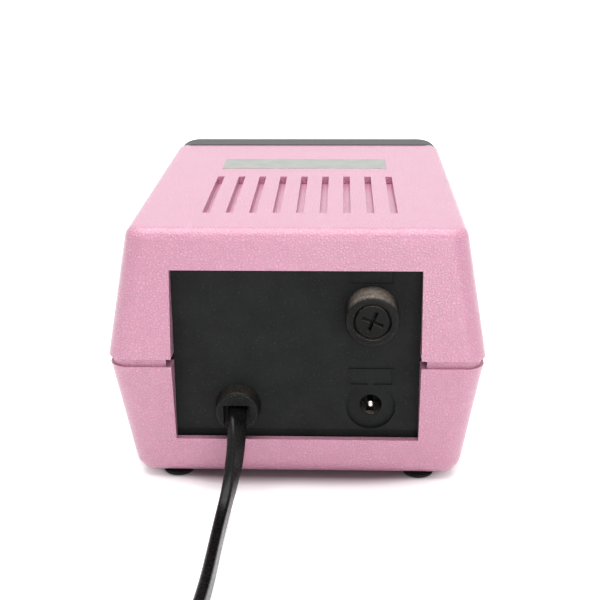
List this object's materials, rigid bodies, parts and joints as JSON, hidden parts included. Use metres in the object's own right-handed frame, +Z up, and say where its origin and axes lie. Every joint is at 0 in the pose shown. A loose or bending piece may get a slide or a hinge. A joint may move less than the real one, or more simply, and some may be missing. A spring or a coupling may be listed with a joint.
{
  "type": "electric nail drill control unit",
  "caption": "Desktop control unit of an electric nail drill: two-part plastic case, sloped control face, sunk rear panel with fuse, pedal jack and mains cord.",
  "frame": {"origin": "bottom centre of the unit without its mains cord, on the plane that the feet stand on", "axes": "+Z up, +Y towards the rear panel, +X to the right as seen from the control face"},
  "size_m": [0.1485, 0.3526, 0.0844],
  "materials": {
    "shell_pink": "fine moulded grain, semi-matte",
    "bezel_grey": "fine moulded grain",
    "panel_black": "matte",
    "black_plastic": "satin",
    "knob_black": "satin",
    "white_plastic": "satin",
    "silver_plate": "brushed, bare",
    "overlay": "satin print film",
    "steel": "zinc plated",
    "nickel": "nickel plated",
    "brass": "tinned",
    "aluminium": "extruded",
    "core_steel": "varnished laminations",
    "winding": "wrapped tape over copper",
    "board": "solder mask",
    "glass": "clear",
    "lamp_red": "translucent",
    "rubber": "moulded",
    "cord_pvc": "glossy PVC"
  },
  "bodies": {
    "case": {"upper_shell": "shell_pink", "lower_shell": "shell_pink", "vent_baffle": "shell_pink", "name_plate": "silver_plate", "front_bezel": "bezel_grey", "control_overlay": "overlay", "rear_panel": "panel_black", "fuse_holder_body": "black_plastic", "fuse_terminals": "brass", "fuse_holder_nut": "black_plastic", "foot_jack_pin": "nickel", "foot_jack_contacts": "nickel", "foot_jack_body": "black_plastic", "cord_bushing": "black_plastic", "cord_entry": "cord_pvc", "pot_body": "steel", "pot_nut": "steel", "power_switch_body": "black_plastic", "direction_switch_body": "black_plastic", "control_switch_body": "black_plastic", "switch_blades": "brass", "handpiece_jack_body": "black_plastic", "handpiece_jack_nut": "nickel", "handpiece_jack_lugs": "brass", "power_lamp": "lamp_red", "lamp_holder": "nickel", "transformer_core": "core_steel", "transformer_bobbin": "white_plastic", "transformer_winding": "winding", "transformer_bracket": "steel", "bracket_screws": "steel", "main_board": "board", "heatsink": "aluminium", "transistor": "black_plastic", "capacitors": "black_plastic", "rectifier": "black_plastic", "board_connectors": "white_plastic", "board_screws": "steel", "feet": "rubber", "foot_screws": "steel", "case_screws": "steel", "inner_leads": "cord_pvc", "cord_lead": "cord_pvc", "cord_coil": "cord_pvc", "cord_tie": "black_plastic", "cord_tail": "cord_pvc", "plug_body": "black_plastic", "plug_pins": "nickel"},
    "knob": {"speed_knob": "knob_black", "knob_pointer": "white_plastic", "pot_shaft": "steel"},
    "power_rocker_body": {"power_rocker": "black_plastic"},
    "direction_rocker_body": {"direction_rocker": "black_plastic"},
    "control_rocker_body": {"control_rocker": "black_plastic"},
    "fuse_cap_body": {"fuse_cap": "black_plastic", "fuse_tube": "glass", "fuse_end_caps": "nickel", "fuse_wire": "nickel", "fuse_clip": "nickel"}
  },
  "joints": [
    {"name": "speed_knob_turn", "type": "hinge", "parent": "case", "child": "knob", "pos_m": [-0.025, -0.07074, 0.06068], "axis": [0, 0.8799, -0.4751], "range_deg": [0, 280]},
    {"name": "power_rocker_tilt", "type": "hinge", "parent": "case", "child": "power_rocker_body", "pos_m": [0.004, -0.06596, 0.0706], "axis": [1, 0, 0], "range_deg": [0, 20]},
    {"name": "direction_rocker_tilt", "type": "hinge", "parent": "case", "child": "direction_rocker_body", "pos_m": [0.02, -0.06596, 0.0706], "axis": [1, 0, 0], "range_deg": [-10, 10]},
    {"name": "control_rocker_tilt", "type": "hinge", "parent": "case", "child": "control_rocker_body", "pos_m": [0.036, -0.06596, 0.0706], "axis": [1, 0, 0], "range_deg": [0, 20]},
    {"name": "fuse_cap_turn", "type": "hinge", "parent": "case", "child": "fuse_cap_body", "pos_m": [-0.0232, 0.07921, 0.0579], "axis": [0, 1, 0], "range_deg": [0, 90]}
  ]
}
